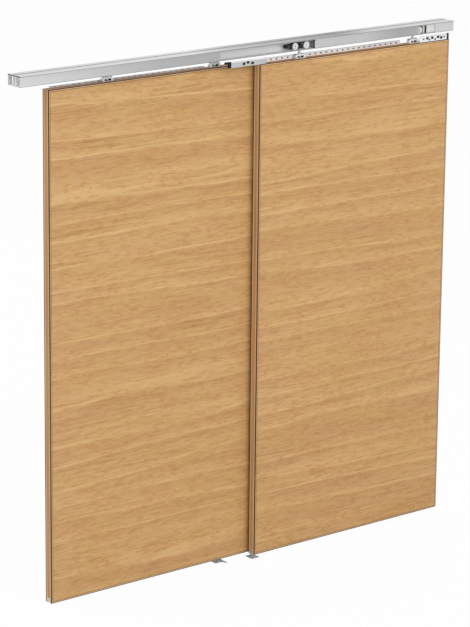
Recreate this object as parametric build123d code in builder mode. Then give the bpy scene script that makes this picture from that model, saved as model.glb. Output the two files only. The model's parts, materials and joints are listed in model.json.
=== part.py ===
# Top-hung sliding door set on a twin-lane aluminium track, with two leaves that pass each other.
# +X runs along the track, +Y points to the rear leaf, +Z is up.
# The origin is the middle of the track's top face, which is screwed to the ceiling.
import os
from build123d import *

# Leaves
LEAF_W = 1050.0
LEAF_H = 2100.0
LEAF_T = 40.0
LEAF_GAP = 9.0
LEAF_OVERLAP = 29.0
SKIN_T = 4.0
LIPPING_W = 12.0

# Track: two extrusions side by side, the front one with a hollow spacer behind its lane
TRACK_END_LEFT = 165.0
TRACK_END_RIGHT = 28.0
TRACK_H = 42.0
ROOF_T = 3.0
LIP_T = 3.0
WALL_T = 2.5
LANE_W = 26.0
SLOT_W = 10.0
TOP_LIP = 4.0
TOP_LIP_T = 2.0
SEAM_REBATE_W = 5.0
SEAM_REBATE_T = 1.2
EDGE_CHAMFER = 0.6

# Windows in the front wall: distance from the track's left end, and length
WINDOW_RIM = 2.0
WINDOWS = [(980.0, 499.0), (2062.0, 96.0)]

# Fixing holes in the roof, in line over each lane
FIX_HOLE_R = 2.75
FIX_COUNT = 4
FIX_INSET = 60.0

# Wheels: plain discs, drawn with narrow flats round the tread
WHEEL_R = 15.0
WHEEL_FLATS = 48
WHEEL_T = 6.0
WHEEL_Y = 8.0
WHEEL_SPACING = 60.0
AXLE_R = 3.0
BORE_CLEARANCE = 0.05
RUN_CLEARANCE = 0.3

# Trolley body, heights counted from the axles
BODY_T = 7.0
BODY_LOW = 10.0
BODY_HIGH = 19.0
SPINE_T = 7.0
SPINE_TIP = 8.0
NECK_R = 19.0
LUG_R = 9.0
BOSS_L = 20.0
BOSS_T = 18.0
BOSS_H = 14.0
NOSE_L = 33.0
NOSE_H = 15.0
NOSE_T = 14.0
NOSE_LOW = 6.0
NOSE_CORNER = 3.5
NOSE_REACH = 80.0
WEB_W = 12.0
WEB_SHIFT = 3.0
STRUT_W = 14.0
STRUT_H = 14.0

# Hanger bolts
BOLT_R = 4.0
BOLT_GRIP = 12.0
NUT_AF = 13.0
NUT_H = 6.5
HEAD_H = 5.5

# Hangers on the leaves' top edges
HANG_GAP = 34.0
BRACKET_L = 52.0
BRACKET_W = 18.0
BRACKET_H = 18.0
BRACKET_SHOE = 4.0
BRACKET_BASE = 3.0
BRACKET_SLOT_L = 32.0
BRACKET_SLOT_H = 8.0
INSETS_REAR = (295.0, 214.0)
INSETS_FRONT = (225.0, 194.0)

# Perforated bars along the top edges
BAR_W = 8.0
BAR_H_REAR = 6.0
BAR_H_FRONT = 15.0
BAR_SETBACK = 1.0
BAR_INSET_LEFT = 30.0
BAR_INSET_RIGHT = 255.0
PERFORATION_L = 9.0
PERFORATION_SHARE = 0.35
PERFORATION_DEPTH = 2.0
PERFORATION_PITCH = 30.0

# Folded arms on the front leaf
ARM_REACH = 150.0
ARM_SEAT = 34.0
ARM_T = 3.0
ARM_H = 25.0
ARM_FOOT = 14.0
ARM_SETBACK = 2.0
ARM_HOLE = 8.0
ARM_HOLES_LEFT = [(39.0, 10.0), (63.0, 15.0), (84.0, 11.0)]
ARM_HOLES_RIGHT = [(45.0, 11.0), (63.0, 15.0), (97.0, 15.0), (125.0, 15.0)]
BUFFER_L = 12.0
BUFFER_T = 9.0
BUFFER_NOSE_L = 18.0
BUFFER_NOSE_H = 8.0

# Travel of the leaves and the stops that end it
TRAVEL_REAR = 800.0
TRAVEL_FRONT = 950.0
STOP_L = 24.0
STOP_H = 35.0
STOP_GAP = 5.0
STOP_SIDE_GAP = 0.5
STOP_WAIST = 2.0
STOP_WAIST_L = 12.0

# Channels in the bottom edges and the guides on the floor
FLOOR_GAP = 16.0
CHANNEL_W = 16.0
CHANNEL_H = 18.0
CHANNEL_T = 2.0
CHANNEL_FLANGE_W = 34.0
FOOT_T = 3.0
FIN_T = 10.0
FIN_RISE = 12.0
REAR_GUIDE_X = 875.0
REAR_FOOT_L = 44.0
REAR_FOOT_W = 40.0
REAR_PRONG_L = 8.0
REAR_PRONG_SPAN = 41.0
REAR_TONGUE_L = 22.0
REAR_TONGUE_W = 16.0
FRONT_GUIDE_X = 7.0
FRONT_FOOT_L = 38.0
FRONT_FOOT_W = 44.0
FRONT_FIN_L = 22.0
FOOT_SCREW_R = 2.25
FOOT_SCREW_SPREAD = 0.6

# Derived places
TRACK_L = TRACK_END_LEFT + 2 * LEAF_W - LEAF_OVERLAP + TRACK_END_RIGHT
LEAF_PITCH = LEAF_T + LEAF_GAP
TRACK_D = LEAF_PITCH + LANE_W + 2 * WALL_T
X_LEFT = -TRACK_L / 2
X_RIGHT = TRACK_L / 2
REAR_LEFT = X_LEFT + TRACK_END_LEFT
FRONT_LEFT = REAR_LEFT + LEAF_W - LEAF_OVERLAP
LIP_TOP = -TRACK_H + LIP_T
LEAF_TOP = -TRACK_H - HANG_GAP
LEAF_BOTTOM = LEAF_TOP - LEAF_H
FLOOR_Z = LEAF_BOTTOM - FLOOR_GAP
AXLE_Z = LIP_TOP + RUN_CLEARANCE + WHEEL_R
BRACKET_TOP = LEAF_TOP + BRACKET_H
SEAM_Y = LEAF_PITCH / 2 - LANE_W / 2 - WALL_T
CORE_T = LEAF_T - 2 * SKIN_T
BAR_Y = LEAF_T / 2 - BAR_SETBACK - BAR_W / 2

os.makedirs("parts", exist_ok=True)


def save(piece, name):
    piece.part.label = name
    export_step(piece.part, f"parts/{name}.step")


# Front track profile: lane, hollow spacer, overhanging top lip, rebate for the seam's tape, windows
lane_h = TRACK_H - ROOF_T - LIP_T
lane_mid = LIP_TOP + lane_h / 2
front_d = TRACK_D / 2 + SEAM_Y
spacer_w = 2 * SEAM_Y - WALL_T
with BuildPart() as front_profile:
    with BuildSketch(Plane.YZ.offset(X_LEFT)):
        with Locations((SEAM_Y - front_d / 2, -TRACK_H / 2)):
            Rectangle(front_d, TRACK_H)
        with Locations((SEAM_Y - (front_d + TOP_LIP) / 2, -TOP_LIP_T / 2)):
            Rectangle(front_d + TOP_LIP, TOP_LIP_T)
        with Locations((-LEAF_PITCH / 2, lane_mid)):
            Rectangle(LANE_W, lane_h, mode=Mode.SUBTRACT)
        with Locations((SEAM_Y - WALL_T - spacer_w / 2, lane_mid)):
            Rectangle(spacer_w, lane_h, mode=Mode.SUBTRACT)
        with Locations((-LEAF_PITCH / 2, -TRACK_H)):
            Rectangle(SLOT_W, 4 * LIP_T, mode=Mode.SUBTRACT)
        with Locations((SEAM_Y, 0)):
            Rectangle(2 * SEAM_REBATE_W, 2 * SEAM_REBATE_T, mode=Mode.SUBTRACT)
    extrude(amount=TRACK_L)
    top_edges = front_profile.edges().filter_by(Axis.X).group_by(Axis.Z)[-1]
    chamfer(top_edges.sort_by(Axis.Y)[0], EDGE_CHAMFER)
    window_h = lane_h - WINDOW_RIM
    for start, length in WINDOWS:
        with Locations((X_LEFT + start + length / 2, -TRACK_D / 2, LIP_TOP + window_h / 2)):
            Box(length, 3 * WALL_T, window_h, mode=Mode.SUBTRACT)
    fix_spacing = (TRACK_L - 2 * FIX_INSET) / (FIX_COUNT - 1)
    with Locations((0, -LEAF_PITCH / 2, 0)):
        with GridLocations(fix_spacing, 1, FIX_COUNT, 1):
            Hole(FIX_HOLE_R, depth=2 * ROOF_T)
save(front_profile, "track_front_profile")

# Rear track profile: one plain lane, butted against the front profile
rear_d = TRACK_D / 2 - SEAM_Y
with BuildPart() as rear_profile:
    with BuildSketch(Plane.YZ.offset(X_LEFT)):
        with Locations((SEAM_Y + rear_d / 2, -TRACK_H / 2)):
            Rectangle(rear_d, TRACK_H)
        with Locations((SEAM_Y + (rear_d + TOP_LIP) / 2, -TOP_LIP_T / 2)):
            Rectangle(rear_d + TOP_LIP, TOP_LIP_T)
        with Locations((LEAF_PITCH / 2, lane_mid)):
            Rectangle(LANE_W, lane_h, mode=Mode.SUBTRACT)
        with Locations((LEAF_PITCH / 2, -TRACK_H)):
            Rectangle(SLOT_W, 4 * LIP_T, mode=Mode.SUBTRACT)
        with Locations((SEAM_Y, 0)):
            Rectangle(2 * SEAM_REBATE_W, 2 * SEAM_REBATE_T, mode=Mode.SUBTRACT)
    extrude(amount=TRACK_L)
    top_edges = rear_profile.edges().filter_by(Axis.X).group_by(Axis.Z)[-1]
    chamfer(top_edges.sort_by(Axis.Y)[-1], EDGE_CHAMFER)
    with Locations((0, LEAF_PITCH / 2, 0)):
        with GridLocations(fix_spacing, 1, FIX_COUNT, 1):
            Hole(FIX_HOLE_R, depth=2 * ROOF_T)
save(rear_profile, "track_rear_profile")

# Leaves, with everything that hangs on them, one lane after the other
for tag, side, left, insets, bar_h in (
    ("rear", 1, REAR_LEFT, INSETS_REAR, BAR_H_REAR),
    ("front", -1, FRONT_LEFT, INSETS_FRONT, BAR_H_FRONT),
):
    lane_y = side * LEAF_PITCH / 2
    mid_x = left + LEAF_W / 2
    mid_z = LEAF_TOP - LEAF_H / 2
    groove_z = LEAF_BOTTOM + CHANNEL_H / 2

    with BuildPart() as core:
        with Locations((mid_x, lane_y, mid_z)):
            Box(LEAF_W - 2 * LIPPING_W, CORE_T, LEAF_H)
        with Locations((mid_x, lane_y, groove_z)):
            Box(LEAF_W, CHANNEL_W, CHANNEL_H, mode=Mode.SUBTRACT)
    save(core, f"{tag}_leaf_core")

    for face, face_name in ((-1, "front"), (1, "back")):
        with BuildPart() as skin:
            with Locations((mid_x, lane_y + face * (CORE_T + SKIN_T) / 2, mid_z)):
                Box(LEAF_W, SKIN_T, LEAF_H)
        save(skin, f"{tag}_leaf_{face_name}_skin")

    for end, end_name in ((-1, "left"), (1, "right")):
        lipping_x = mid_x + end * (LEAF_W - LIPPING_W) / 2
        with BuildPart() as lipping:
            with Locations((lipping_x, lane_y, mid_z)):
                Box(LIPPING_W, CORE_T, LEAF_H)
            with Locations((lipping_x, lane_y, groove_z)):
                Box(2 * LIPPING_W, CHANNEL_W, CHANNEL_H, mode=Mode.SUBTRACT)
        save(lipping, f"{tag}_leaf_{end_name}_lipping")

    # Guide channel: a hat section whose brim covers the bottom edge
    with BuildPart() as channel:
        with BuildSketch(Plane.YZ.offset(left)):
            with Locations((lane_y, groove_z)):
                Rectangle(CHANNEL_W, CHANNEL_H)
            with Locations((lane_y, LEAF_BOTTOM - CHANNEL_T / 2)):
                Rectangle(CHANNEL_FLANGE_W, CHANNEL_T)
            with Locations((lane_y, groove_z - CHANNEL_T)):
                Rectangle(CHANNEL_W - 2 * CHANNEL_T, CHANNEL_H, mode=Mode.SUBTRACT)
        extrude(amount=LEAF_W)
    save(channel, f"{tag}_guide_channel")

    for end, centre in (("left", left + insets[0]), ("right", left + LEAF_W - insets[1])):
        # Trolley body: a spine over the wheels, a neck round the first wheel down to the nose, a web down
        # to the boss that takes the hanger bolt, and a strut down to the second wheel's lug
        half_wheels = WHEEL_SPACING / 2
        spine_low = AXLE_Z + BODY_HIGH - SPINE_T
        web_h = BODY_LOW + BODY_HIGH - SPINE_T / 2
        with BuildPart() as body:
            with BuildSketch(Plane.XZ.offset(-lane_y)):
                with Locations((centre - half_wheels, AXLE_Z)):
                    Circle(NECK_R)
                with Locations((centre - half_wheels, AXLE_Z - BODY_LOW - NECK_R)):
                    Rectangle(4 * NECK_R, 2 * NECK_R, mode=Mode.SUBTRACT)
                with Locations((centre + half_wheels, AXLE_Z)):
                    Circle(LUG_R)
                with Locations((centre + half_wheels, AXLE_Z + STRUT_H / 2)):
                    Rectangle(STRUT_W, STRUT_H)
                with Locations((centre + WEB_SHIFT, AXLE_Z - BODY_LOW + web_h / 2)):
                    Rectangle(WEB_W, web_h)
                with BuildLine():
                    Polyline(
                        (centre - half_wheels, AXLE_Z + BODY_HIGH),
                        (centre + half_wheels - SPINE_TIP, AXLE_Z + BODY_HIGH),
                        (centre + half_wheels, spine_low),
                        (centre - half_wheels, spine_low),
                        close=True,
                    )
                make_face()
                with Locations((centre - half_wheels, AXLE_Z), (centre + half_wheels, AXLE_Z)):
                    Circle(AXLE_R + BORE_CLEARANCE, mode=Mode.SUBTRACT)
            extrude(amount=BODY_T / 2, both=True)
            with Locations((centre, lane_y, AXLE_Z - BODY_LOW + BOSS_H / 2)):
                Box(BOSS_L, BOSS_T, BOSS_H)
            with BuildSketch(Plane.XZ.offset(-lane_y)) as nose:
                with Locations((centre - NOSE_REACH + NOSE_L / 2, AXLE_Z - NOSE_LOW + NOSE_H / 2)):
                    Rectangle(NOSE_L, NOSE_H)
                chamfer(nose.vertices(), NOSE_CORNER)
            extrude(amount=NOSE_T / 2, both=True)
            with Locations((centre, lane_y, AXLE_Z - BODY_LOW)):
                Cylinder(BOLT_R + BORE_CLEARANCE, 2 * BOLT_GRIP, mode=Mode.SUBTRACT)
        save(body, f"{tag}_{end}_trolley_body")

        for step, step_name in ((-1, "left"), (1, "right")):
            axle_x = centre + step * half_wheels
            with BuildPart() as wheels:
                with Locations(Plane((axle_x, lane_y, AXLE_Z), z_dir=(0, 1, 0))):
                    Cylinder(AXLE_R, 2 * WHEEL_Y)
                for tread in (-1, 1):
                    with BuildSketch(Plane.XZ.offset(-lane_y - tread * WHEEL_Y)):
                        with Locations((axle_x, AXLE_Z)):
                            RegularPolygon(WHEEL_R, WHEEL_FLATS)
                    extrude(amount=WHEEL_T / 2, both=True)
            save(wheels, f"{tag}_{end}_{step_name}_wheels")

        # Hanger bolt: threaded into the boss, locked by a nut on the bracket, its head in the slot
        bolt_top = AXLE_Z - BODY_LOW + BOLT_GRIP
        slot_top = LEAF_TOP + BRACKET_BASE + BRACKET_SLOT_H
        with BuildPart() as bolt:
            with BuildSketch(Plane.XY.offset(slot_top)):
                with Locations((centre, lane_y)):
                    Circle(BOLT_R)
            extrude(amount=bolt_top - slot_top)
            with BuildSketch(Plane.XY.offset(BRACKET_TOP)):
                with Locations((centre, lane_y)):
                    RegularPolygon(NUT_AF / 2, 6, major_radius=False)
            extrude(amount=NUT_H)
            with BuildSketch(Plane.XY.offset(slot_top)):
                with Locations((centre, lane_y)):
                    RegularPolygon(NUT_AF / 2, 6, major_radius=False)
            extrude(amount=-HEAD_H)
        save(bolt, f"{tag}_{end}_hanger_bolt")

        # Bracket: a shoe with a cross slot, open to the front and back, and a fork in its top wall
        # that hooks in under the bolt's head from behind
        fork_w = 2 * (BOLT_R + BORE_CLEARANCE)
        fork_reach = BRACKET_W / 2 + fork_w / 2
        with BuildPart() as bracket:
            with BuildSketch(Plane.XZ.offset(-lane_y)):
                with BuildLine():
                    Polyline(
                        (centre - BRACKET_L / 2, LEAF_TOP),
                        (centre - BRACKET_L / 2, BRACKET_TOP - BRACKET_SHOE),
                        (centre - BRACKET_L / 2 + BRACKET_SHOE, BRACKET_TOP),
                        (centre + BRACKET_L / 2 - BRACKET_SHOE, BRACKET_TOP),
                        (centre + BRACKET_L / 2, BRACKET_TOP - BRACKET_SHOE),
                        (centre + BRACKET_L / 2, LEAF_TOP),
                        close=True,
                    )
                make_face()
                with Locations((centre, LEAF_TOP + BRACKET_BASE + BRACKET_SLOT_H / 2)):
                    Rectangle(BRACKET_SLOT_L, BRACKET_SLOT_H, mode=Mode.SUBTRACT)
            extrude(amount=BRACKET_W / 2, both=True)
            with Locations((centre, lane_y + BRACKET_W / 2 - fork_reach / 2, BRACKET_TOP)):
                Box(fork_w, fork_reach, BRACKET_H, mode=Mode.SUBTRACT)
        save(bracket, f"{tag}_{end}_bracket")

    # Bar along the rear of the top edge, with a row of blind perforations in its front face
    bar_l = LEAF_W - BAR_INSET_LEFT - BAR_INSET_RIGHT
    bar_x = left + BAR_INSET_LEFT + bar_l / 2
    perforations = int((bar_l - PERFORATION_L) // PERFORATION_PITCH)
    with BuildPart() as bar:
        with Locations((bar_x, lane_y + BAR_Y, LEAF_TOP + bar_h / 2)):
            Box(bar_l, BAR_W, bar_h)
        with Locations((bar_x, lane_y + BAR_Y - BAR_W / 2, LEAF_TOP + bar_h / 2)):
            with GridLocations(PERFORATION_PITCH, 1, perforations, 1):
                Box(PERFORATION_L, 2 * PERFORATION_DEPTH, PERFORATION_SHARE * bar_h, mode=Mode.SUBTRACT)
    save(bar, f"{tag}_perforated_bar")

# Arms of the front leaf: folded plates, a leg that stands at the front and a foot on the top edge
arm_front = -LEAF_PITCH / 2 - LEAF_T / 2 + ARM_SETBACK
front_right = FRONT_LEFT + LEAF_W
bracket_right = front_right - INSETS_FRONT[1] + BRACKET_L / 2
for tag, leg_start, leg_end, edge, holes in (
    ("left", FRONT_LEFT - ARM_REACH, FRONT_LEFT + ARM_SEAT, FRONT_LEFT, ARM_HOLES_LEFT),
    ("right", bracket_right, front_right - BUFFER_L, front_right, ARM_HOLES_RIGHT),
):
    foot_start = max(leg_start, FRONT_LEFT)
    with BuildPart() as arm:
        with Locations(((leg_start + leg_end) / 2, arm_front + ARM_T / 2, LEAF_TOP + ARM_H / 2)):
            Box(leg_end - leg_start, ARM_T, ARM_H)
        with Locations(((foot_start + leg_end) / 2, arm_front + ARM_FOOT / 2, LEAF_TOP + ARM_T / 2)):
            Box(leg_end - foot_start, ARM_FOOT, ARM_T)
        for offset, height in holes:
            with Locations((edge - offset, arm_front, LEAF_TOP + height)):
                Box(ARM_HOLE, 4 * ARM_T, ARM_HOLE, mode=Mode.SUBTRACT)
    save(arm, f"front_{tag}_arm")

    buffer_x = leg_start - BUFFER_L / 2 if tag == "left" else leg_end + BUFFER_L / 2
    with BuildPart() as buffer:
        with Locations((buffer_x, arm_front + BUFFER_T / 2, LEAF_TOP + ARM_H / 2)):
            Box(BUFFER_L, BUFFER_T, ARM_H)
        if tag == "left":
            nose_x = buffer_x - (BUFFER_L + BUFFER_NOSE_L) / 2
            with Locations((nose_x, arm_front + BUFFER_T / 2, LEAF_TOP + ARM_H - BUFFER_NOSE_H / 2)):
                Box(BUFFER_NOSE_L, BUFFER_T, BUFFER_NOSE_H)
    save(buffer, f"front_{tag}_buffer")

# Stops in the lanes, where the trolleys' travel ends: clamping blocks with a narrower waist
stop_left_reach = NOSE_REACH + STOP_GAP + STOP_L / 2
stop_right_reach = WHEEL_SPACING / 2 + WHEEL_R + STOP_GAP + STOP_L / 2
for name, side, stop_x in (
    ("rear_left_stop", 1, REAR_LEFT + INSETS_REAR[0] - stop_left_reach),
    ("rear_right_stop", 1, REAR_LEFT + LEAF_W - INSETS_REAR[1] + TRAVEL_REAR + stop_right_reach),
    ("front_left_stop", -1, FRONT_LEFT + INSETS_FRONT[0] - TRAVEL_FRONT - stop_left_reach),
    ("front_right_stop", -1, FRONT_LEFT + LEAF_W - INSETS_FRONT[1] + stop_right_reach),
):
    stop_w = LANE_W - 2 * STOP_SIDE_GAP
    with BuildPart() as stop:
        with Locations((stop_x, side * LEAF_PITCH / 2, LIP_TOP + STOP_H / 2)):
            Box(STOP_L, stop_w, STOP_H)
        for cheek in (-1, 1):
            with Locations((stop_x, side * LEAF_PITCH / 2 + cheek * stop_w / 2, LIP_TOP + STOP_H / 2)):
                Box(STOP_WAIST_L, 2 * STOP_WAIST, 2 * STOP_H, mode=Mode.SUBTRACT)
    save(stop, name)

# Rear floor guide: a screwed foot with a tongue to the front and two prongs in the channel
guide_x = REAR_LEFT + REAR_GUIDE_X
guide_y = LEAF_PITCH / 2
prong_h = LEAF_BOTTOM + FIN_RISE - FLOOR_Z
with BuildPart() as rear_guide:
    with BuildSketch(Plane.XY.offset(FLOOR_Z)):
        with Locations((guide_x, guide_y)):
            Rectangle(REAR_FOOT_L, REAR_FOOT_W)
        with BuildLine():
            Polyline(
                (guide_x + REAR_FOOT_L / 2 - REAR_TONGUE_W, guide_y - REAR_FOOT_W / 2),
                (guide_x + REAR_FOOT_L / 2, guide_y - REAR_FOOT_W / 2 - REAR_TONGUE_L),
                (guide_x + REAR_FOOT_L / 2, guide_y - REAR_FOOT_W / 2),
                close=True,
            )
        make_face()
        with Locations((guide_x, guide_y)):
            with GridLocations(1, FOOT_SCREW_SPREAD * REAR_FOOT_W, 1, 2):
                Circle(FOOT_SCREW_R, mode=Mode.SUBTRACT)
    extrude(amount=FOOT_T)
    with Locations((guide_x, guide_y, FLOOR_Z + prong_h / 2)):
        with GridLocations(REAR_PRONG_SPAN - REAR_PRONG_L, 1, 2, 1):
            Box(REAR_PRONG_L, FIN_T, prong_h)
    with Locations((guide_x, guide_y, FLOOR_Z + FLOOR_GAP / 4)):
        Box(REAR_PRONG_SPAN, FIN_T, FLOOR_GAP / 2)
save(rear_guide, "rear_floor_guide")

# Front floor guide: a flat foot with one fin in the channel
guide_x = FRONT_LEFT + FRONT_GUIDE_X
guide_y = -LEAF_PITCH / 2
with BuildPart() as front_guide:
    with BuildSketch(Plane.XY.offset(FLOOR_Z)):
        with Locations((guide_x, guide_y)):
            Rectangle(FRONT_FOOT_L, FRONT_FOOT_W)
            with GridLocations(1, FOOT_SCREW_SPREAD * FRONT_FOOT_W, 1, 2):
                Circle(FOOT_SCREW_R, mode=Mode.SUBTRACT)
    extrude(amount=FOOT_T)
    with Locations((guide_x, guide_y, FLOOR_Z + prong_h / 2)):
        Box(FRONT_FIN_L, FIN_T, prong_h)
save(front_guide, "front_floor_guide")
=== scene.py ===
"""Top-hung sliding door set: finishes, rounded edges, wheels, threads, screws and the studio."""
import json
import bmesh
import bpy
import numpy as np
from mathutils import Matrix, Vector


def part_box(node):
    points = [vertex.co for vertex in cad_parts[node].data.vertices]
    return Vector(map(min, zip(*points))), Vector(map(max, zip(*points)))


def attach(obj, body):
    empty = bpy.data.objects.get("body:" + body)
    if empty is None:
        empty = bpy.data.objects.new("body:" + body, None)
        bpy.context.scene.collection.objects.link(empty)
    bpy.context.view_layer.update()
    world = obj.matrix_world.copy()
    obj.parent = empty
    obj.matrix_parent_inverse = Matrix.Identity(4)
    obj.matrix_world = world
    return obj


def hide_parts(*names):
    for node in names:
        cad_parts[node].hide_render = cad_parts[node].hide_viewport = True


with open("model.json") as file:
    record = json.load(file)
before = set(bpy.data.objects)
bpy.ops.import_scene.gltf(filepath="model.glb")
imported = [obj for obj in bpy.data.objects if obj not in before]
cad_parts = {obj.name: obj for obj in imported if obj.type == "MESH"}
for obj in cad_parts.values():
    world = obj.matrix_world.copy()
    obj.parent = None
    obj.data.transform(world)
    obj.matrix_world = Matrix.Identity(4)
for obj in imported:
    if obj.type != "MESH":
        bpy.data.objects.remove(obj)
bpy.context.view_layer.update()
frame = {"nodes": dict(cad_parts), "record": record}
MM = 0.001

# Track, in millimetres like all sizes here: its ends, its front wall and the lip over it, its seam, the first
# window and the screws through its roof
TRACK_END = 2264.0 / 2
TRACK_H = 42.0
ROOF_T = 3.0
WALL_T = 2.5
WALL_Y = -40.0
LIP_Y = WALL_Y - 4.0
SEAM_Y = 9.0
WINDOW_LEFT = -TRACK_END + 980.0
WINDOW_L = 499.0
FIX_COUNT = 4
FIX_INSET = 60.0

# Leaves, the floor under them and the guides' feet on it
LEAF_PITCH = 49.0
LEAF_T = 40.0
LEAF_W = 1050.0
LEAF_H = 2100.0
LEAF_TOP = -76.0
REAR_LEFT = -967.0
FRONT_LEFT = 54.0
FLOOR_Z = LEAF_TOP - LEAF_H - 16.0
FOOT_T = 3.0
BAND_PITCH = 98.0

# Trolleys, brackets with their slots, and M8 hanger bolts
AXLE_Z = -23.7
WHEEL_STEP = 30.0
RIVET_X = -63.0
BRACKET_TOP = LEAF_TOP + 18.0
SLOT_LOW = LEAF_TOP + 3.0
SLOT_TOP = SLOT_LOW + 8.0
BOLT_R = 4.0
THREAD_DEPTH = 0.45
THREAD_PITCH = 1.25
NUT_AF = 13.0
NUT_H = 5.5
WASHER_T = 1.0

# Arms on the front leaf, and perforated bars
ARM_FRONT = -LEAF_PITCH / 2 - LEAF_T / 2 + 2.0
ARM_T = 3.0
ARM_HOLE = 8.0
PERFORATION_L = 9.0
PERFORATION_SHARE = 0.35
PERFORATION_PITCH = 30.0

# Each leaf's left edge, its lane's middle plane, and its trolleys' distances from its left and right edges
LANES = {"rear": (REAR_LEFT, LEAF_PITCH / 2, (295.0, 214.0)),
         "front": (FRONT_LEFT, -LEAF_PITCH / 2, (225.0, 194.0))}
# Each trolley's lane, end, middle along x and middle plane
TROLLEYS = [(lane, end, left + inset if end == "left" else left + LEAF_W - inset, lane_y)
            for lane, (left, lane_y, insets) in LANES.items()
            for end, inset in zip(("left", "right"), insets)]

NOISE, MAPPING, RAMP = "ShaderNodeTexNoise", "ShaderNodeMapping", "ShaderNodeValToRGB"
RANGE, MATH, BUMP = "ShaderNodeMapRange", "ShaderNodeMath", "ShaderNodeBump"
MIX, SPLIT = "ShaderNodeMix", "ShaderNodeSeparateXYZ"
# A mix of colours takes its share at input 0 and the two colours at 6 and 7, and gives its colour at output 2
OVER = {"out": 2, "data_type": "RGBA"}
TIMES = {**OVER, "blend_type": "MULTIPLY"}


def srgb(code):
    """The linear RGBA of a sRGB hex colour: each channel through the sRGB curve."""
    v = np.array([int(code[i:i + 2], 16) for i in (1, 3, 5)]) / 255
    lin = np.where(v <= 0.04045, v / 12.92, ((v + 0.055) / 1.055) ** 2.4)
    return (*[float(c) for c in lin], 1.0)


def cells(x, y, z):
    """The scale, per metre, of a pattern whose cells are x, y and z millimetres long."""
    return (1 / (x * MM), 1 / (y * MM), 1 / (z * MM))


def node(tree, kind, inputs, out=0, stops=(), **settings):
    """Adds a node with its settings, fills its inputs with values or links, and gives one of its outputs. The
    stops of a colour ramp are (place, hex colour) pairs in rising order."""
    n = tree.nodes.new(kind)
    for key, value in settings.items():
        setattr(n, key, value)
    for key, value in inputs.items():
        if isinstance(value, bpy.types.NodeSocket):
            tree.links.new(value, n.inputs[key])
        else:
            n.inputs[key].default_value = value
    for k, (at, code) in enumerate(stops):
        band = n.color_ramp.elements[k] if k < len(n.color_ramp.elements) else n.color_ramp.elements.new(at)
        band.position = at
        band.color = srgb(code)
    return n.outputs[out]


def blank(name, **sockets):
    """A new material, its node tree, its shader with constant sockets set, and the object coordinates."""
    m = bpy.data.materials.new(name)
    m.use_nodes = True
    tree = m.node_tree
    shader = tree.nodes["Principled BSDF"]
    for key, value in sockets.items():
        shader.inputs[key.replace("_", " ")].default_value = value
    return m, tree, shader, node(tree, "ShaderNodeTexCoord", {}, out="Object")


def surface(tree, shader, colour, sheen, rough, relief, depth, strength):
    """Links a shader's colour, its roughness, which goes between two values with the sheen pattern, and its
    relief, a pattern whose depth is in millimetres."""
    gloss = node(tree, RANGE, {"Value": sheen, "From Min": 0.3, "From Max": 0.7,
                               "To Min": rough[0], "To Max": rough[1]})
    bump = node(tree, BUMP, {"Height": relief, "Distance": depth * MM, "Strength": strength})
    for output, key in ((colour, "Base Color"), (gloss, "Roughness"), (bump, "Normal")):
        tree.links.new(output, shader.inputs[key])


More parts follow.
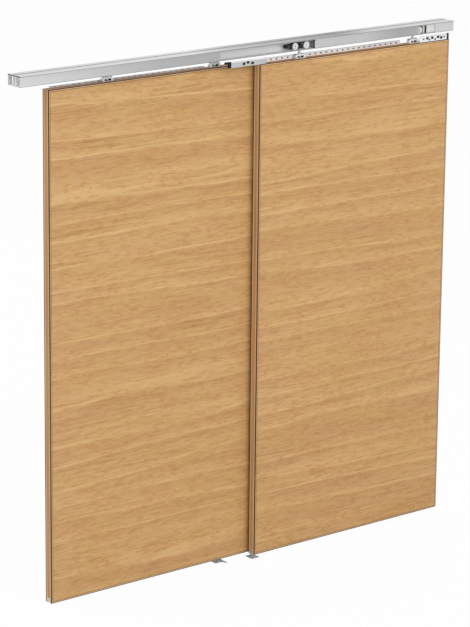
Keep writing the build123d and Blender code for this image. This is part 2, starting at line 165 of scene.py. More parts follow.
def anodised(name, light, dark, inner, rough, metal):
    """Satin anodised extrusion. Die lines 0.7 mm apart run along x. The outer wall and the top have a slow
    change of tone along the bar that is painted reflection and shade, the lanes inside are painted paler and
    brightest near their mouths against their shade, the lip's edge and the wall's lower arris carry a
    painted dark shade line, and the roof's end faces are painted dark for their shade."""
    m, tree, shader, place = blank(name, Metallic=metal, Specular_IOR_Level=0.4)
    drawn = node(tree, MAPPING, {"Vector": place, "Scale": cells(250.0, 0.7, 0.7)})
    lines = node(tree, NOISE, {"Vector": drawn, "Scale": 1.0, "Detail": 4.0, "Roughness": 0.55})
    split = node(tree, SPLIT, {"Vector": place}).node
    x, y, z = (split.outputs[axis] for axis in "XYZ")
    reach = node(tree, MATH, {0: x}, operation="ABSOLUTE")
    depth = node(tree, MATH, {0: y}, operation="ABSOLUTE")

    # Zones of the extrusion: each goes from its first value to the other one between two places in millimetres
    zone = {}
    for key, value, start, end, first in (
        ("along", x, -TRACK_END, TRACK_END, 0.0), ("outer", y, WALL_Y + 0.8, WALL_Y + 1.5, 1.0),
        ("within", depth, -WALL_Y - WALL_T - 0.3, -WALL_Y - WALL_T + 0.3, 1.0),
        ("under roof", z, -ROOF_T + 0.1, -ROOF_T + 0.2, 1.0),
        ("over foot", z, -TRACK_H + 0.2, -TRACK_H + 0.4, 0.0),
        ("mouth", reach, TRACK_END - 90.0, TRACK_END - 40.0, 0.0),
        ("arris", z, -TRACK_H + 1.5, -TRACK_H + 1.8, 1.0), ("lip", y, LIP_Y + 0.4, LIP_Y + 0.8, 1.0),
        ("top", z, -1.3, -0.3, 0.0), ("end", reach, TRACK_END - 1.5, TRACK_END - 0.5, 0.0),
        ("roof", z, -ROOF_T - 0.1, -ROOF_T + 0.1, 0.0),
    ):
        zone[key] = node(tree, RANGE, {"Value": value, "From Min": start * MM, "From Max": end * MM,
                                       "To Min": first, "To Max": 1.0 - first})
    inside = node(tree, MATH, {0: zone["within"], 1: zone["under roof"]}, operation="MINIMUM")
    inside = node(tree, MATH, {0: inside, 1: zone["over foot"]}, operation="MINIMUM")
    # Painted shade: the lip's edge and the wall's lower arris are drawn dark grey, #6C6C6D, as shade lines
    painted_shade_lines = node(tree, MATH, {0: zone["arris"], 1: zone["lip"]}, operation="MAXIMUM")
    # Painted shade: the roof's end faces are drawn near black, #2B2B2C
    painted_end_shade = node(tree, MATH, {0: zone["end"], 1: zone["roof"]}, operation="MINIMUM")

    fine = node(tree, RAMP, {"Fac": lines}, stops=[(0.3, dark), (0.7, light)])
    # Painted reflection and shade on the outer wall: a slow tone along the bar, light at both ends and darker
    # in two stretches between
    tone = node(tree, RAMP, {"Fac": zone["along"]}, stops=[
        (0.0, "#FDFDFD"), (0.09, "#F4F4F4"), (0.32, "#D2D2D3"), (0.44, "#CDCDCE"), (0.66, "#E8E8E9"),
        (0.78, "#E6E6E7"), (0.86, "#C8C8C9"), (0.90, "#CACACB"), (0.95, "#F6F6F6"), (1.0, "#F6F6F6")])
    # Painted light inside the lanes: a flat pale colour instead of the die lines, brightening to near white at
    # the mouths, against their shade
    painted_lane_light = node(tree, RAMP, {"Fac": zone["mouth"]}, stops=[(0.0, inner), (1.0, "#FAFAFA")])
    # Painted highlight and shade on the top: a slow tone along the bar, darkest at about 0.72 of its length
    crown = node(tree, RAMP, {"Fac": zone["along"]}, stops=[
        (0.0, "#D6D6D7"), (0.38, "#E0E0E1"), (0.47, "#C0C0C1"), (0.72, "#9C9C9D"), (0.80, "#D4D4D5"),
        (1.0, "#DADADB")])
    # The die lines darkened by the painted tone of the wall
    lines_under_painted_tone = node(tree, MIX, {0: 1.0, 6: fine, 7: tone}, **TIMES)
    colour = fine
    # Layers in turn: painted wall tone, painted lane light, painted shade lines, painted top tone, painted end
    # shade
    for share, layer in ((zone["outer"], lines_under_painted_tone), (inside, painted_lane_light), (painted_shade_lines, srgb("#6C6C6D")),
                         (zone["top"], crown), (painted_end_shade, srgb("#2B2B2C"))):
        colour = node(tree, MIX, {0: share, 6: colour, 7: layer}, **OVER)
    surface(tree, shader, colour, lines, (rough - 0.05, rough + 0.07), lines, 0.06, 0.6)
    return m


def drawn_metal(name, light, dark, rough, metal, size, patch=(330.0, 330.0, 330.0)):
    """Drawn, rolled or plated metal: lines or crystals of the given size in millimetres, and slow patches of
    tone."""
    m, tree, shader, place = blank(name, Metallic=metal)
    close = node(tree, MAPPING, {"Vector": place, "Scale": cells(*size)})
    lines = node(tree, NOISE, {"Vector": close, "Scale": 1.0, "Detail": 4.0, "Roughness": 0.55})
    wide = node(tree, MAPPING, {"Vector": place, "Scale": cells(*patch)})
    slow = node(tree, NOISE, {"Vector": wide, "Scale": 1.0, "Detail": 1.0, "Roughness": 0.55})
    fine = node(tree, RAMP, {"Fac": lines}, stops=[(0.3, dark), (0.7, light)])
    broad = node(tree, RAMP, {"Fac": slow}, stops=[(0.3, "#E2E2E4"), (0.7, "#FFFFFF")])
    colour = node(tree, MIX, {0: 1.0, 6: fine, 7: broad}, **TIMES)
    surface(tree, shader, colour, lines, (rough - 0.05, rough + 0.07), lines, 0.06, 0.6)
    return m


def moulded(name, light, dark, rough, grit, level):
    """Moulded plastic or rubber: an even spark-eroded grain, so many millimetres wide, and faint flow clouds of
    22 mm."""
    m, tree, shader, place = blank(name, IOR=1.5, Specular_IOR_Level=level)
    close = node(tree, MAPPING, {"Vector": place, "Scale": cells(grit, grit, grit)})
    grain = node(tree, NOISE, {"Vector": close, "Scale": 1.0, "Detail": 2.0, "Roughness": 0.55})
    wide = node(tree, MAPPING, {"Vector": place, "Scale": cells(22.0, 22.0, 22.0)})
    clouds = node(tree, NOISE, {"Vector": wide, "Scale": 1.0, "Detail": 2.0, "Roughness": 0.55})
    colour = node(tree, RAMP, {"Fac": clouds}, stops=[(0.3, dark), (0.7, light)])
    surface(tree, shader, colour, grain, (rough - 0.06, rough + 0.08), grain, 0.05, 0.6)
    return m


def veneer(name, pale, mid, deep, olive, tick, leaf_left=None):
    """Crosswise oak veneer under matt lacquer, its grain along x: cathedral bands about 100 mm apart that run
    the whole width and each end in a thin pale crest, wavy bands 85 mm wide with olive patches, groups of
    darker growth lines 9 mm apart, a mottle of 40 by 10 mm, reddish flecks 30 by 5 mm in drifts, and fibres
    2 mm wide, which are drawn wider than real ones so that they show. A face whose leaf is named by its left
    edge also gets a sealed, darkened arris, the pale lipping line inside it and the glue line beside that."""
    m, tree, shader, place = blank(name, IOR=1.45, Coat_Weight=0.08, Coat_Roughness=0.4)

    # Patterns: length along the grain and width in millimetres, detail, roughness and distortion
    noise = {}
    for key, length, width, detail, rough, bend in (
        ("bands", 1200.0, 85.0, 3.0, 0.5, 0.5), ("drift", 340.0, 60.0, 2.0, 0.55, 0.4),
        ("groups", 500.0, 100.0, 1.0, 0.55, 0.0), ("growth", 330.0, 9.0, 2.0, 0.55, 0.2),
        ("fibres", 120.0, 1.9, 3.0, 0.6, 0.0), ("mottle", 40.0, 10.0, 4.0, 0.65, 0.2),
        ("flecks", 30.0, 4.5, 4.0, 0.6, 0.0), ("strewn", 260.0, 75.0, 2.0, 0.55, 0.0),
        ("sway", 4000.0, 230.0, 2.0, 0.5, 0.0),
    ):
        laid = node(tree, MAPPING, {"Vector": place, "Scale": cells(length, width, width)})
        noise[key] = node(tree, NOISE, {"Vector": laid, "Scale": 1.0, "Detail": detail, "Roughness": rough,
                                        "Distortion": bend})

    # Place within a band, from 0 to 1 downwards: the height over the pitch, moved by the sway and the drift
    split = node(tree, SPLIT, {"Vector": place}).node
    sway = node(tree, MATH, {0: noise["sway"], 1: 3.5}, operation="MULTIPLY")
    sway = node(tree, MATH, {0: noise["drift"], 1: 0.3, 2: sway}, operation="MULTIPLY_ADD")
    phase = node(tree, MATH, {0: split.outputs["Z"], 1: -1 / (BAND_PITCH * MM), 2: sway},
                 operation="MULTIPLY_ADD")
    phase = node(tree, MATH, {0: phase}, operation="FRACT")

    # Wavy bands under the cathedral bands, then olive patches
    colour = node(tree, RAMP, {"Fac": noise["bands"]}, stops=[(0.30, deep), (0.50, mid), (0.70, pale)])
    band = node(tree, RAMP, {"Fac": phase}, stops=[
        (0.0, mid), (0.12, deep), (0.5, mid), (0.88, pale), (1.0, mid)])
    colour = node(tree, MIX, {0: 0.55, 6: colour, 7: band}, **OVER)
    share = node(tree, RANGE, {"Value": noise["drift"], "From Min": 0.45, "From Max": 0.65, "To Max": 0.6})
    colour = node(tree, MIX, {0: share, 6: colour, 7: srgb(olive)}, **OVER)

    # Growth lines, fibres and mottle, which only darken
    line = node(tree, RAMP, {"Fac": noise["growth"]}, stops=[(0.32, "#CBAE8E"), (0.48, "#FFFFFF")])
    share = node(tree, RANGE, {"Value": noise["groups"], "From Min": 0.42, "From Max": 0.62, "To Max": 0.38})
    colour = node(tree, MIX, {0: share, 6: colour, 7: line}, **TIMES)
    fibre = node(tree, RAMP, {"Fac": noise["fibres"]}, stops=[(0.34, "#D6C4AE"), (0.60, "#FFFFFF")])
    colour = node(tree, MIX, {0: 0.4, 6: colour, 7: fibre}, **TIMES)
    cloud = node(tree, RAMP, {"Fac": noise["mottle"]}, stops=[
        (0.32, "#DCC6AC"), (0.50, "#FAF6F0"), (0.68, "#FFFFFF")])
    colour = node(tree, MIX, {0: 0.6, 6: colour, 7: cloud}, **TIMES)

    # Pale crests where the growth lines group, and reddish flecks where they are strewn
    crest = node(tree, RAMP, {"Fac": phase}, stops=[
        (0.89, "#000000"), (0.93, "#A8A8A8"), (0.96, "#A8A8A8"), (1.0, "#000000")])
    share = node(tree, RANGE, {"Value": noise["groups"], "From Min": 0.38, "From Max": 0.58, "To Min": 0.25})
    share = node(tree, MATH, {0: crest, 1: share}, operation="MULTIPLY")
    colour = node(tree, MIX, {0: share, 6: colour, 7: srgb("#E0BE85")}, **OVER)
    fleck = node(tree, RANGE, {"Value": noise["flecks"], "From Min": 0.50, "From Max": 0.66, "To Max": 0.8})
    strewn = node(tree, RANGE, {"Value": noise["strewn"], "From Min": 0.46, "From Max": 0.58})
    share = node(tree, MATH, {0: fleck, 1: strewn}, operation="MULTIPLY")
    colour = node(tree, MIX, {0: share, 6: colour, 7: srgb(tick)}, **OVER)

    # The outermost 12 mm of a face: the distance to the nearest edge is half the size less the distance from
    # the middle, along x and along z, and the smaller of the two
    if leaf_left is not None:
        gaps = []
        for axis, middle, half in (("X", leaf_left + LEAF_W / 2, LEAF_W / 2),
                                   ("Z", LEAF_TOP - LEAF_H / 2, LEAF_H / 2)):
            off = node(tree, MATH, {0: split.outputs[axis], 1: middle * MM}, operation="SUBTRACT")
            off = node(tree, MATH, {0: off}, operation="ABSOLUTE")
            gaps.append(node(tree, MATH, {0: half * MM, 1: off}, operation="SUBTRACT"))
        gap = node(tree, MATH, {0: gaps[0], 1: gaps[1]}, operation="MINIMUM")
        gap = node(tree, RANGE, {"Value": gap, "From Min": 0.0, "From Max": 12.0 * MM})
        joint = node(tree, RAMP, {"Fac": gap}, stops=[
            (0.0, "#463621"), (0.24, "#463621"), (0.31, "#FFFFFF"), (0.46, "#FFFFFF"), (0.54, "#B9A684"),
            (0.70, "#B9A684"), (0.80, "#FFFFFF")])
        pale_line = node(tree, RAMP, {"Fac": gap}, stops=[
            (0.28, "#000000"), (0.33, "#B0B0B0"), (0.44, "#B0B0B0"), (0.52, "#000000")])
        colour = node(tree, MIX, {0: 1.0, 6: colour, 7: joint}, **TIMES)
        colour = node(tree, MIX, {0: pale_line, 6: colour, 7: srgb("#F0DBB4")}, **OVER)
    surface(tree, shader, colour, noise["growth"], (0.58, 0.48), noise["fibres"], 0.1, 0.4)
    return m


def lipping(name, lane_y, pale, mid, deep):
    """Solid oak lipping, its grain upright with fibres 4 mm wide, drawn wider than real ones so that they show.
    It pales in a line 10 to 14 mm from the leaf's middle plane and darkens at the glue line with the veneer."""
    m, tree, shader, place = blank(name, IOR=1.45)
    laid = node(tree, MAPPING, {"Vector": place, "Scale": cells(4.0, 4.0, 330.0)})
    fibre = node(tree, NOISE, {"Vector": laid, "Scale": 1.0, "Detail": 4.0, "Roughness": 0.55})
    y = node(tree, SPLIT, {"Vector": place}, out="Y")
    off = node(tree, MATH, {0: y, 1: lane_y * MM}, operation="SUBTRACT")
    off = node(tree, MATH, {0: off}, operation="ABSOLUTE")
    off = node(tree, RANGE, {"Value": off, "From Min": 0.0, "From Max": 16.0 * MM})
    across = node(tree, RAMP, {"Fac": off}, stops=[
        (0.0, mid), (0.45, mid), (0.62, pale), (0.85, pale), (1.0, deep)])
    streak = node(tree, RAMP, {"Fac": fibre}, stops=[(0.35, "#D8CBC0"), (0.6, "#FFFFFF")])
    colour = node(tree, MIX, {0: 0.8, 6: across, 7: streak}, **TIMES)
    surface(tree, shader, colour, fibre, (0.6, 0.5), fibre, 0.1, 0.4)
    return m


# Track extrusions: a soft grey sheen with fine lengthwise lines, and painted light that makes the lanes paler
# inside
ANODISED = anodised("satin_anodised_aluminium", "#D4D4D4", "#C8C8C9", "#D2D2D3", 0.45, 0.3)
# Guide channels, hems and the right arm: nearly white metal that catches the light
BRIGHT = drawn_metal("bright_drawn_aluminium", "#F6F6F6", "#E6E6E7", 0.38, 0.35, (170.0, 0.9, 0.9))
# Perforated bars: white enamel over steel, hardly mirroring the wood below
ENAMEL = drawn_metal("white_enamelled_steel", "#FAFAFA", "#EFEFEF", 0.5, 0.0, (30.0, 2.0, 2.0))
# Left arm: a dull, even grey plate under its bright hem
PLATE = drawn_metal("etched_aluminium_plate", "#C2C1C1", "#B2B1B1", 0.5, 0.2, (125.0, 1.1, 1.1))
# Brackets, bolts and bearing shields: pale cool metal with a fine crystal bloom
ZINC = drawn_metal("zinc_plated_steel", "#F0F0EE", "#D6D7D6", 0.36, 0.5, (6.0, 6.0, 6.0), (17.0, 17.0, 17.0))
# Screws, axle pins and rivets: small dark sparks on the pale metal
DARK_STEEL = drawn_metal("dark_steel", "#8A8B8D", "#6C6D6F", 0.35, 1.0, (5.0, 5.0, 5.0), (25.0, 25.0, 25.0))
# Trolley bodies, stops and plugs: near black, hardly any sheen
BLACK = moulded("black_moulded_plastic", "#0F0F10", "#0A0A0B", 0.5, 0.7, 0.3)
# Seam tape: a dull dark grey line along the top of the track
FOAM = moulded("grey_foam_tape", "#55565A", "#494A4E", 0.85, 1.1, 0.2)
# Floor guides: plain mid grey
GREY = moulded("grey_moulded_plastic", "#ABADAA", "#9C9E9C", 0.5, 0.7, 0.5)
# Tyres and the stops' shoes: off-white with a soft waxy sheen
NYLON = moulded("white_nylon", "#D8D9D6", "#C9CAC7", 0.4, 0.55, 0.5)
# Dark grey blocks in the bars' perforations: painted shade, dark grey ticks on the bright metal
PERFORATION_SHADE = moulded("painted_perforation_shade", "#38393B", "#2E2F31", 0.5, 0.6, 0.5)
# Buffers: dead black and matt
RUBBER = moulded("black_rubber", "#1A1A1B", "#121213", 0.72, 0.45, 0.25)
# Leaves: warm honey oak with crosswise grain, reddish flecks and a dark sealed outline
OAK = {lane: veneer(f"oak_veneer_{lane}", "#D7B078", "#CCA36E", "#C29662", "#C8A264", "#B97A45", left)
       for lane, (left, lane_y, insets) in LANES.items()}
# Narrow edges of the leaves: redder upright grain with a pale line near each face
LIPPING = {lane: lipping(f"oak_lipping_{lane}", LANES[lane][1], pale, mid, "#6E523A")
           for lane, pale, mid in (("rear", "#DAB27E", "#BE8D5A"), ("front", "#DEBB8A", "#C19465"))}
# Top and bottom edges of the core: an orange strip between the skins
STRIP = veneer("oak_core_strip", "#DCA36B", "#D0965E", "#C08850", "#C98F55", "#B0713F")


def finish(obj, material, body, replaced=()):
    """Gives a new piece its material and body, and hides the CAD nodes that it stands for."""
    obj.data.materials.clear()
    obj.data.materials.append(material)
    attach(obj, body)
    if replaced:
        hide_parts(*replaced)


def shaded(name, mesh):
    """A mesh as an object at the origin, shaded smooth except at edges sharper than 35 degrees."""
    mesh.polygons.foreach_set("use_smooth", np.ones(len(mesh.polygons), bool))
    mesh.set_sharp_from_angle(angle=np.radians(35))
    obj = bpy.data.objects.new(name, mesh)
    bpy.context.scene.collection.objects.link(obj)
    return obj


def skin(grid, ring=False):
    """Points and faces of an array of rings, (rows, count, 3): quads between neighbouring rings, with a flat
    cap on the first and the last ring, or for a hollow piece with quads from the last ring back to the
    first."""
    rows, count = grid.shape[:2]
    index = np.arange(rows * count).reshape(rows, count)
    low, high = (index, np.roll(index, -1, 0)) if ring else (index[:-1], index[1:])
    quads = np.stack([low, np.roll(low, -1, 1), np.roll(high, -1, 1), high], -1).reshape(-1, 4)
    caps = index[:0] if ring else np.stack([index[0, ::-1], index[-1]])
    return grid.reshape(-1, 3), (quads, caps)


def joined(name, parts):
    """One object from several skins in millimetres: their points one after the other, their faces counted on
    from the points before them and turned outwards."""
    starts = np.cumsum([0] + [len(points) for points, faces in parts])
    points = np.vstack([points for points, faces in parts]) * MM
    faces = [face for (_, groups), start in zip(parts, starts)
             for group in groups for face in (group + start).tolist()]
    mesh = bpy.data.meshes.new(name)
    mesh.from_pydata(points.tolist(), [], faces)
    bm = bmesh.new()
    bm.from_mesh(mesh)
    bmesh.ops.recalc_face_normals(bm, faces=bm.faces)
    bm.to_mesh(mesh)
    bm.free()
    return shaded(name, mesh)


def lathe(profile, centre, direction, count=32, ring=False):
    """A profile of (height, radius) pairs turned round an axis through the centre: the point at height h,
    radius r and angle t lies at centre + h along the axis + r (cos t, sin t) across it."""
    k = "xyz".index(direction)
    axes = np.eye(3)
    h, r = np.asarray(profile, float).T
    t = np.arange(count) * 2 * np.pi / count
    circle = np.cos(t)[:, None] * axes[(k + 1) % 3] + np.sin(t)[:, None] * axes[(k + 2) % 3]
    grid = np.asarray(centre, float) + h[:, None, None] * axes[k] + r[:, None, None] * circle
    return skin(grid, ring)


def block(low, high, radius):
    """A box with rounded upright edges and eased ends: a round-cornered outline carried up four rings, of which
    the first and the last are drawn in by 0.6 of the corner radius."""
    (x0, y0, z0), (x1, y1, z1) = low, high
    turn = np.linspace(0, np.pi / 2, 5)
    angle = (turn + np.arange(4)[:, None] * np.pi / 2).ravel()
    corner_x = np.repeat([x1 - radius, x0 + radius, x0 + radius, x1 - radius], len(turn))
    corner_y = np.repeat([y1 - radius, y1 - radius, y0 + radius, y0 + radius], len(turn))
    outline = np.column_stack([corner_x + radius * np.cos(angle), corner_y + radius * np.sin(angle)])
    middle = np.array([x0 + x1, y0 + y1]) / 2
    ease = 0.6 * radius
    inner = middle + (outline - middle) * (1 - ease / (np.array([x1 - x0, y1 - y0]) / 2))
    rings = [np.column_stack([o, np.full(len(o), z)])
             for o, z in ((inner, z0), (outline, z0 + ease), (outline, z1 - ease), (inner, z1))]
    return skin(np.array(rings))


def thread(x, y, low, high, radius, depth, pitch, count=32):
    """An upright screw thread, eight rings to a pitch: at height z and angle t the radius is the outer radius
    less the depth times a triangle wave of z / pitch - t / turn."""
    z = np.linspace(low, high, int((high - low) / pitch * 8) + 1)[:, None]
    t = np.arange(count)[None, :] * 2 * np.pi / count
    r = radius - depth * np.abs(2 * ((z / pitch - t / (2 * np.pi)) % 1.0) - 1)
    return skin(np.stack([x + r * np.cos(t), y + r * np.sin(t), z + 0 * r], -1))


def hexagon(x, y, low, high, across_flats, chamfer=0.9, count=48):
    """An upright hexagon prism: at angle t the radius is that of the flats over the cosine of the angle from
    the nearest flat's middle, held to a cone at both ends."""
    flat = across_flats / 2
    t = np.arange(count) * 2 * np.pi / count
    edge = flat / np.cos((t + np.pi / 6) % (np.pi / 3) - np.pi / 6)
    cone = np.minimum(edge, flat * 1.01)
    rings = [(low, cone * 0.96), (low + chamfer * 0.4, cone), (low + chamfer, edge), (high - chamfer, edge),
             (high - chamfer * 0.4, cone), (high, cone * 0.96)]
    return skin(np.array([np.column_stack([x + r * np.cos(t), y + r * np.sin(t), np.full(count, z)])
                          for z, r in rings]))


def screw_head(centre, direction, sign, radius, height, recess):
    """A low domed head with a driver recess: the radius falls from the rim to the recess as a cosine."""
    t = np.linspace(0, np.pi / 2, 6)
    dome = np.column_stack([height * np.sin(t), radius - (radius - recess) * (1 - np.cos(t)) * 0.9])
    profile = np.vstack([[(-0.4, radius)], dome, [(0.98 * height, recess), (0.35 * height, 0.55 * recess)]])
    return lathe(profile * (sign, 1), centre, direction, 24)


def rounded(name, source, width, segments=2):
    """A copy of a CAD node with its triangles merged into flat faces and its edges rounded by a bevel."""
    mesh = frame["nodes"][source].data.copy()
    mesh.name = name
    bm = bmesh.new()
    bm.from_mesh(mesh)
    bmesh.ops.remove_doubles(bm, verts=bm.verts, dist=1e-6)
    bmesh.ops.dissolve_limit(bm, angle_limit=np.radians(1.0), verts=bm.verts, edges=bm.edges)
    bm.to_mesh(mesh)
    bm.free()
    obj = shaded(name, mesh)
    bevel = obj.modifiers.new("rounded edges", "BEVEL")
    bevel.width = width * MM
    bevel.segments = segments
    bevel.limit_method = "ANGLE"
    bevel.angle_limit = np.radians(40)
    bevel.harden_normals = True
    return obj


def corners(source):
    """The lowest and highest corners of a CAD node, in millimetres."""
    return [np.array(c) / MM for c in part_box(source)]


body_of = {name: body for body, names in frame["record"]["behaviour"]["bodies"].items() for name in names}

# CAD nodes whose shape is right, copied with rounded edges: material and edge radius
EDGES = {
    "track_front_profile": (ANODISED, 0.25), "track_rear_profile": (ANODISED, 0.25),
    "front_left_arm": (PLATE, 0.4), "front_right_arm": (BRIGHT, 0.4),
    "front_left_buffer": (RUBBER, 1.2), "front_right_buffer": (RUBBER, 1.2),
    "rear_floor_guide": (GREY, 0.8), "front_floor_guide": (GREY, 0.8),
}
for lane in LANES:
    EDGES[f"{lane}_leaf_core"] = (STRIP, 0.3)
    EDGES[f"{lane}_leaf_front_skin"] = (OAK[lane], 0.8)
    EDGES[f"{lane}_leaf_back_skin"] = (OAK[lane], 0.8)
    EDGES[f"{lane}_leaf_left_lipping"] = (LIPPING[lane], 0.3)
    EDGES[f"{lane}_leaf_right_lipping"] = (LIPPING[lane], 0.3)
    EDGES[f"{lane}_guide_channel"] = (BRIGHT, 0.25)
    EDGES[f"{lane}_perforated_bar"] = (ENAMEL, 0.3)
    for end in ("left", "right"):
        EDGES[f"{lane}_{end}_trolley_body"] = (BLACK, 0.8)
        EDGES[f"{lane}_{end}_bracket"] = (ZINC, 0.6)
for source, (material, width) in EDGES.items():
    piece = rounded(f"{source}_rounded", source, width, 3 if material is RUBBER else 2)
    finish(piece, material, body_of[source], (source,))

# Wheels: nylon tyres on shielded ball bearings, on steel axle pins with riveted ends. The profiles are
# distances from the lane's middle plane and radii.
TYRE = [(5.0, 7.0), (5.0, 13.6), (5.7, 14.7), (6.6, 15.0), (9.4, 15.0), (10.3, 14.7), (11.0, 13.8),
        (11.0, 11.6), (10.6, 11.0), (10.2, 10.8), (10.2, 8.4), (10.6, 8.0), (11.0, 7.8), (11.0, 7.0)]
SHIELD = [(5.2, 3.1), (5.2, 7.05), (10.9, 7.05), (10.9, 6.4), (10.4, 6.1), (10.4, 4.1), (10.8, 3.9),
          (10.8, 3.1)]
PIN = [(-11.0, 2.2), (-10.6, 3.0), (-10.0, 3.15), (10.0, 3.15), (10.6, 3.0), (11.0, 2.2)]
for lane, end, centre, lane_y in TROLLEYS:
    for pos, step in (("left", -WHEEL_STEP), ("right", WHEEL_STEP)):
        hub = (centre + step, lane_y, AXLE_Z)
        source = f"{lane}_{end}_{pos}_wheels"
        tyres = [lathe(np.array(TYRE) * (side, 1), hub, "y", 64, True) for side in (-1, 1)]
        finish(joined(f"{source}_tyres", tyres), NYLON, source, (source,))
        shields = [lathe(np.array(SHIELD) * (side, 1), hub, "y", 64, True) for side in (-1, 1)]
        finish(joined(f"{source}_bearings", shields), ZINC, source)
        finish(joined(f"{source}_pin", [lathe(PIN, hub, "y")]), DARK_STEEL, source)

# Hanger bolts with a thread, a chamfered nut, a washer and a head, black blocks in the brackets' slots on both
# sides of the head that are painted shade of the open slots, the brackets' screws, and a rivet through each
# trolley's nose
for lane, end, centre, lane_y in TROLLEYS:
    source = f"{lane}_{end}_hanger_bolt"
    nut_low = BRACKET_TOP + WASHER_T
    washer = [(BRACKET_TOP, 4.1), (BRACKET_TOP, 7.2), (nut_low, 7.2), (nut_low, 4.1)]
    bolt = joined(f"{source}_threaded", [
        thread(centre, lane_y, SLOT_TOP - 1.0, AXLE_Z + 1.9, BOLT_R, THREAD_DEPTH, THREAD_PITCH),
        hexagon(centre, lane_y, nut_low, nut_low + NUT_H, NUT_AF),
        hexagon(centre, lane_y, SLOT_TOP - NUT_H, SLOT_TOP, NUT_AF),
        lathe(washer, (centre, lane_y, 0.0), "z", 40, True),
    ])
    finish(bolt, ZINC, body_of[source], (source,))
    # Painted shade: black blocks fill the open slot on both sides of the bolt head
    shade_blocks = [block((centre + a, lane_y - 8.7, SLOT_LOW + 0.05),
                  (centre + b, lane_y + 8.7, SLOT_TOP - 0.05), 0.5)
            for a, b in ((-15.95, -7.8), (7.8, 15.95))]
    finish(joined(f"{lane}_{end}_slot_shade_blocks", shade_blocks), BLACK, body_of[source])
    heads = [screw_head((centre + side * 20.5, lane_y, BRACKET_TOP), "z", 1, 3.2, 1.2, 1.4)
             for side in (-1, 1)]
    finish(joined(f"{lane}_{end}_bracket_screws", heads), DARK_STEEL, body_of[source])
    body = body_of[f"{lane}_{end}_trolley_body"]
    rivets = [screw_head((centre + RIVET_X, lane_y + side * 7.0, AXLE_Z + 1.5), "y", side, 2.4, 0.9, 0.9)
              for side in (-1, 1)]
    finish(joined(f"{lane}_{end}_nose_rivet", rivets), DARK_STEEL, body)

# Stops: a black clamp 13 mm long between two pale nylon shoes, which it overlaps by half a millimetre
for source in ("rear_left_stop", "rear_right_stop", "front_left_stop", "front_right_stop"):
    low, high = corners(source)
    mid_x = (low[0] + high[0]) / 2
    clamp = block((mid_x - 6.5, low[1] + 2, low[2]), (mid_x + 6.5, high[1] - 2, high[2]), 0.8)
    finish(joined(f"{source}_clamp", [clamp]), BLACK, body_of[source], (source,))
    shoes = [block(low, (mid_x - 6.0, high[1], high[2]), 1.2),
             block((mid_x + 6.0, low[1], low[2]), high, 1.2)]
    finish(joined(f"{source}_shoes", shoes), NYLON, body_of[source])

# Damper behind the front right stop: a pale housing that ends 64 mm past the stop, with a dark screw in its
# front, both seen in the second window
low, high = corners("front_right_stop")
body = body_of["front_right_stop"]
damper = block((high[0] + 0.5, low[1] + 0.5, low[2] + 0.5),
               (high[0] + 64.0, high[1] - 0.5, high[2] - 0.5), 1.6)
finish(joined("front_damper_housing", [damper]), NYLON, body)
head = screw_head((high[0] + 52.0, low[1] + 0.5, AXLE_Z), "y", -1, 3.0, 0.9, 1.2)
finish(joined("front_damper_screw", [head]), DARK_STEEL, body)

# Arms: black plugs in the square holes, each with a bead round it, clips beside them, a bright rolled hem
# along the top and screws in the foot. The holes and clips are given by their distance from the leaf's edge
# and their height over the leaf.
for source, edge, holes, clips in (
    ("front_left_arm", FRONT_LEFT, [(39.0, 10.0), (63.0, 15.0), (84.0, 11.0)], []),
    ("front_right_arm", FRONT_LEFT + LEAF_W, [(45.0, 11.0), (63.0, 15.0), (97.0, 15.0), (125.0, 15.0)],
     [(28.0, 13.0), (80.0, 7.0), (112.0, 8.0), (146.0, 13.0)]),
):
    low, high = corners(source)
    plugs = [
        block((edge - x - wide, ARM_FRONT - front, LEAF_TOP + z - tall),
              (edge - x + wide, ARM_FRONT + back, LEAF_TOP + z + tall), radius)
        for places, wide, tall, front, back, radius in (
            (holes, ARM_HOLE / 2 - 0.05, ARM_HOLE / 2 - 0.05, 0.5, ARM_T + 0.6, 0.8),
            (holes, 6.5, 5.0, 1.3, 0.02, 0.6),
            (clips, 3.5, 3.5, 1.3, 0.02, 0.6))
        for x, z in places
    ]
    finish(joined(f"{source}_plugs", plugs), BLACK, body_of[source])
    hem = block((low[0] + 0.3, ARM_FRONT - 0.9, high[2] - 4.0),
                (high[0] - 0.3, ARM_FRONT + ARM_T + 0.4, high[2]), 0.8)
    finish(joined(f"{source}_hem", [hem]), BRIGHT, body_of[source])
    feet = [screw_head((x, ARM_FRONT + 8.5, LEAF_TOP + ARM_T), "z", 1, 3.4, 1.3, 1.5)
            for x in (max(low[0], FRONT_LEFT) + 8.0, high[0] - 8.0)]
    finish(joined(f"{source}_screws", feet), DARK_STEEL, body_of[source])

# Dark grey blocks in the bars' perforations stand for the shade in these pockets, which are a share of the
# bar's height; the blocks keep 0.3 mm of play above and below
for lane in LANES:
    source = f"{lane}_perforated_bar"
    low, high = corners(source)
    count = int((high[0] - low[0] - PERFORATION_L) // PERFORATION_PITCH)
    spots = (low[0] + high[0]) / 2 + (np.arange(count) - (count - 1) / 2) * PERFORATION_PITCH
    mid_z, half_z = (low[2] + high[2]) / 2, PERFORATION_SHARE / 2 * (high[2] - low[2]) - 0.3
    clips = [block((x - 3.6, low[1] - 0.5, mid_z - half_z), (x + 3.6, low[1] + 1.9, mid_z + half_z), 0.4)
             for x in spots]
    finish(joined(f"{lane}_bar_perforation_shade", clips), PERFORATION_SHADE, body_of[source])

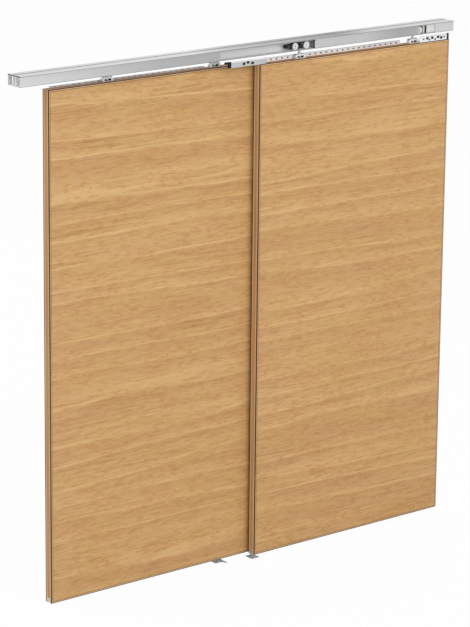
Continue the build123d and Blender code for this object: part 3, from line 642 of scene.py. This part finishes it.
# Clip on the cut edge at the right end of the first window: an upright that hugs the wall, with a foot at each
# end. Each box is from and to along x, from and to in height, and its corner radius.
window_right = WINDOW_LEFT + WINDOW_L
clip = [block((window_right + x0, WALL_Y - 0.7, z0), (window_right + x1, WALL_Y + 3.1, z1), radius)
        for x0, x1, z0, z1, radius in (
            (-1.6, 1.2, -38.9, -5.1, 0.4), (-4.6, 3.2, -10.0, -5.1, 0.5), (-4.6, 3.2, -38.9, -34.6, 0.5))]
finish(joined("window_clip", clip), BLACK, body_of["track_front_profile"])

# Foam tape in the rebate along the seam: a crown whose height is edge + rise (1 - (2 y / width)^2) over a flat
# base, carried along x to 1 mm from both ends
half_w, base_z, edge_z, rise = 4.8, -1.19, -0.85, 0.5
across = np.linspace(-half_w, half_w, 9)
crown = edge_z + rise * (1 - (across / half_w) ** 2)
outline = np.column_stack([SEAM_Y + np.append(across, [half_w, -half_w]), np.append(crown, [base_z, base_z])])
tape = np.array([np.column_stack([np.full(len(outline), x), outline])
                 for x in (-TRACK_END + 1.0, TRACK_END - 1.0)])
finish(joined("seam_tape", [skin(tape)]), FOAM, body_of["track_front_profile"])

# Two screws in each floor guide's foot, so many millimetres apart, and eight through the track's roof, each a
# head under it and a shank in its hole
for lane, spread in (("rear", 24.0), ("front", 26.4)):
    source = f"{lane}_floor_guide"
    low, high = corners(source)
    lane_y = LANES[lane][1]
    heads = [screw_head(((low[0] + high[0]) / 2, lane_y + side * spread / 2, FLOOR_Z + FOOT_T), "z", 1,
                        4.2, 1.6, 1.9) for side in (-1, 1)]
    finish(joined(f"{source}_screws", heads), ZINC, body_of[source])
roof = []
for lane, (left, lane_y, insets) in LANES.items():
    for x in np.linspace(-TRACK_END + FIX_INSET, TRACK_END - FIX_INSET, FIX_COUNT):
        roof.append(screw_head((x, lane_y, -ROOF_T), "z", -1, 4.6, 1.0, 1.9))
        roof.append(lathe([(-3.2, 2.6), (-0.6, 2.6), (-0.3, 2.2)], (x, lane_y, 0.0), "z", 24))
finish(joined("ceiling_screws", roof), DARK_STEEL, body_of["track_front_profile"])


# Studio: a pale plain floor that keeps a soft shadow, and a white room for the eye and for gloss
def seen(tree):
    """One for rays from the camera, from gloss and through glass, and none for the rest."""
    path = node(tree, "ShaderNodeLightPath", {}).node
    either = node(tree, MATH, {0: path.outputs["Is Camera Ray"], 1: path.outputs["Is Glossy Ray"]},
                  operation="MAXIMUM")
    return node(tree, MATH, {0: either, 1: path.outputs["Is Transmission Ray"]}, operation="MAXIMUM")


floor_mesh = bpy.data.meshes.new("floor")
floor_mesh.from_pydata([(x, y, FLOOR_Z * MM) for x, y in ((-40, -40), (40, -40), (40, 60), (-40, 60))], [],
                       [(0, 1, 2, 3)])
floor = bpy.data.objects.new("floor", floor_mesh)
bpy.context.scene.collection.objects.link(floor)
paint, tree, matt, place = blank("pale_floor_paint", Roughness=0.9)
matt.inputs["Base Color"].default_value = srgb("#E9E9E9")
share = node(tree, MATH, {0: seen(tree), 1: 0.97}, operation="MULTIPLY")
white = node(tree, "ShaderNodeEmission", {"Color": (1, 1, 1, 1), "Strength": 1.0})
both = node(tree, "ShaderNodeMixShader", {0: share, 1: matt.outputs[0], 2: white})
tree.links.new(both, tree.nodes["Material Output"].inputs["Surface"])
floor_mesh.materials.append(paint)

world = bpy.data.worlds.new("white_room")
bpy.context.scene.world = world
world.use_nodes = True
tree = world.node_tree
back = tree.nodes["Background"]
back.inputs["Color"].default_value = (1, 1, 1, 1)
light = node(tree, RANGE, {"Value": seen(tree), "To Min": 0.5, "To Max": 1.0})
tree.links.new(light, back.inputs["Strength"])


def placed(obj, position, right, up, ahead):
    """Puts a camera or lamp at a position, looking ahead, with its right and up directions."""
    pose = np.eye(4)
    pose[:3, 0], pose[:3, 1], pose[:3, 2], pose[:3, 3] = right, up, -ahead, position
    obj.matrix_world = Matrix(pose.tolist())
    bpy.context.scene.collection.objects.link(obj)


def lamp(name, position, target, size, power):
    """A square area lamp at a position, turned to a target."""
    data = bpy.data.lights.new(name, "AREA")
    data.size = size
    data.energy = power
    ahead = np.subtract(target, position) / np.linalg.norm(np.subtract(target, position))
    right = np.cross(ahead, (0, 0, 1))
    right /= np.linalg.norm(right)
    placed(bpy.data.objects.new(name, data), position, right, np.cross(right, ahead), ahead)


lamp("key", (1.5, -8.0, 3.5), (0.0, 0.0, -1.0), 5.0, 370.0)
lamp("fill", (-7.0, -3.0, 2.0), (0.0, 0.0, -1.0), 5.0, 165.0)
lamp("back_fill", (-3.5, 8.5, 3.5), (0.0, 0.0, -1.0), 5.0, 300.0)

# Camera: yaw from the +Y axis towards +X, pitch down and roll. Its focal length was fitted as 2953.3 pixels
# on a picture 627 pixels high, which is a sensor of 36 mm.
YAW, PITCH, ROLL = np.radians([39.575, 14.896, 0.604])
ahead = np.array([np.sin(YAW) * np.cos(PITCH), np.cos(YAW) * np.cos(PITCH), -np.sin(PITCH)])
level_right = np.array([np.cos(YAW), -np.sin(YAW), 0.0])
level_up = np.cross(level_right, ahead)
right = np.cos(ROLL) * level_right + np.sin(ROLL) * level_up
up = -np.sin(ROLL) * level_right + np.cos(ROLL) * level_up
lens = bpy.data.cameras.new("camera")
lens.sensor_width = 36.0
lens.lens = 2953.3 * lens.sensor_width / 627.0
lens.clip_end = 200.0
camera = bpy.data.objects.new("camera", lens)
placed(camera, (-7.5427, -9.0916, 2.0221), right, up, ahead)
bpy.context.scene.camera = camera
bpy.context.scene.view_settings.view_transform = "Standard"
